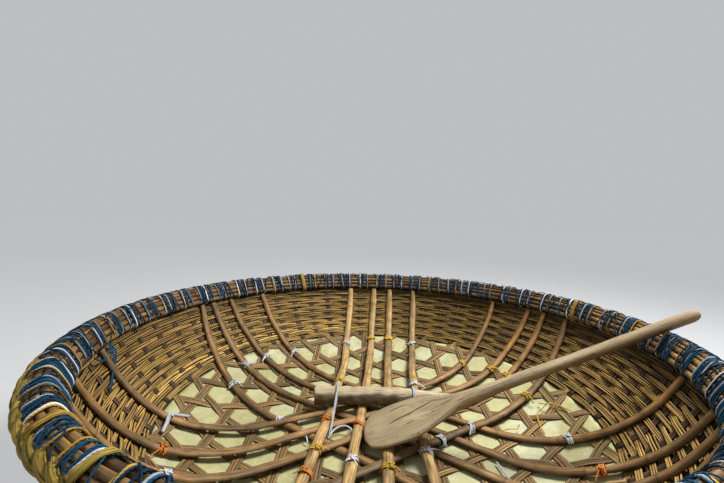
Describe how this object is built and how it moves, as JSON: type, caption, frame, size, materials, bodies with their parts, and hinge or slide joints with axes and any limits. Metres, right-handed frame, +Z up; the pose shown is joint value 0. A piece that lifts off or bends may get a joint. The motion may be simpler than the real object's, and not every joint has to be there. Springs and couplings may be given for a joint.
{
  "type": "bamboo basket coracle",
  "caption": "Round woven bamboo coracle with tarred skin, split cane ribs, lashed rim, a split log across the floor and a paddle that lifts out.",
  "frame": {"origin": "middle of the flat bottom, on the outer face of the skin", "axes": "+Z up, the upright bands of the floor weave run along Y and the four top ribs nearly so, the paddle's shaft lies over the rim at +X"},
  "size_m": [2.3632, 2.3366, 0.6295],
  "materials": {
    "floor_splits": "pale split bamboo, dry",
    "side_splits": "golden tan split bamboo, dry",
    "stake_splits": "dark split bamboo",
    "rib_cane": "brown split cane with nodes, worn",
    "rim_cane": "orange brown bamboo splits, satin",
    "lashing_cord": "blue plastic cord",
    "straw_border": "straw yellow rolled splits",
    "tarred_cloth": "cloth coated in black tar, matt",
    "sacking": "pale plastic sacking, matt",
    "split_log": "grey brown split log",
    "paddle_wood": "bare worn wood"
  },
  "bodies": {
    "hull": {"cross_log": "split_log", "floor_weave_a": "floor_splits", "floor_weave_b": "floor_splits", "floor_weave_c": "floor_splits", "hull_skin": "tarred_cloth", "rib_a1": "rib_cane", "rib_a2": "rib_cane", "rib_a3": "rib_cane", "rib_a4": "rib_cane", "rib_b1": "rib_cane", "rib_b2": "rib_cane", "rib_b3": "rib_cane", "rib_b4": "rib_cane", "rib_c1": "rib_cane", "rib_c2": "rib_cane", "rib_c3": "rib_cane", "rib_c4": "rib_cane", "rim_border": "straw_border", "rim_cap": "rim_cane", "rim_hoop_inner_high": "rim_cane", "rim_hoop_inner_low": "rim_cane", "rim_hoop_outer_high": "rim_cane", "rim_hoop_outer_low": "rim_cane", "rim_lashings": "lashing_cord", "sack_liner": "sacking", "side_course_1": "side_splits", "side_course_2": "side_splits", "side_course_3": "side_splits", "side_course_4": "side_splits", "side_course_5": "side_splits", "side_course_6": "side_splits", "side_course_7": "side_splits", "side_stakes": "stake_splits"},
    "paddle": {"paddle": "paddle_wood"}
  },
  "joints": [
    {"name": "paddle_lift", "type": "slide", "parent": "hull", "child": "paddle", "axis": [0, 0, 1], "range_m": [0, 0.6]}
  ]
}
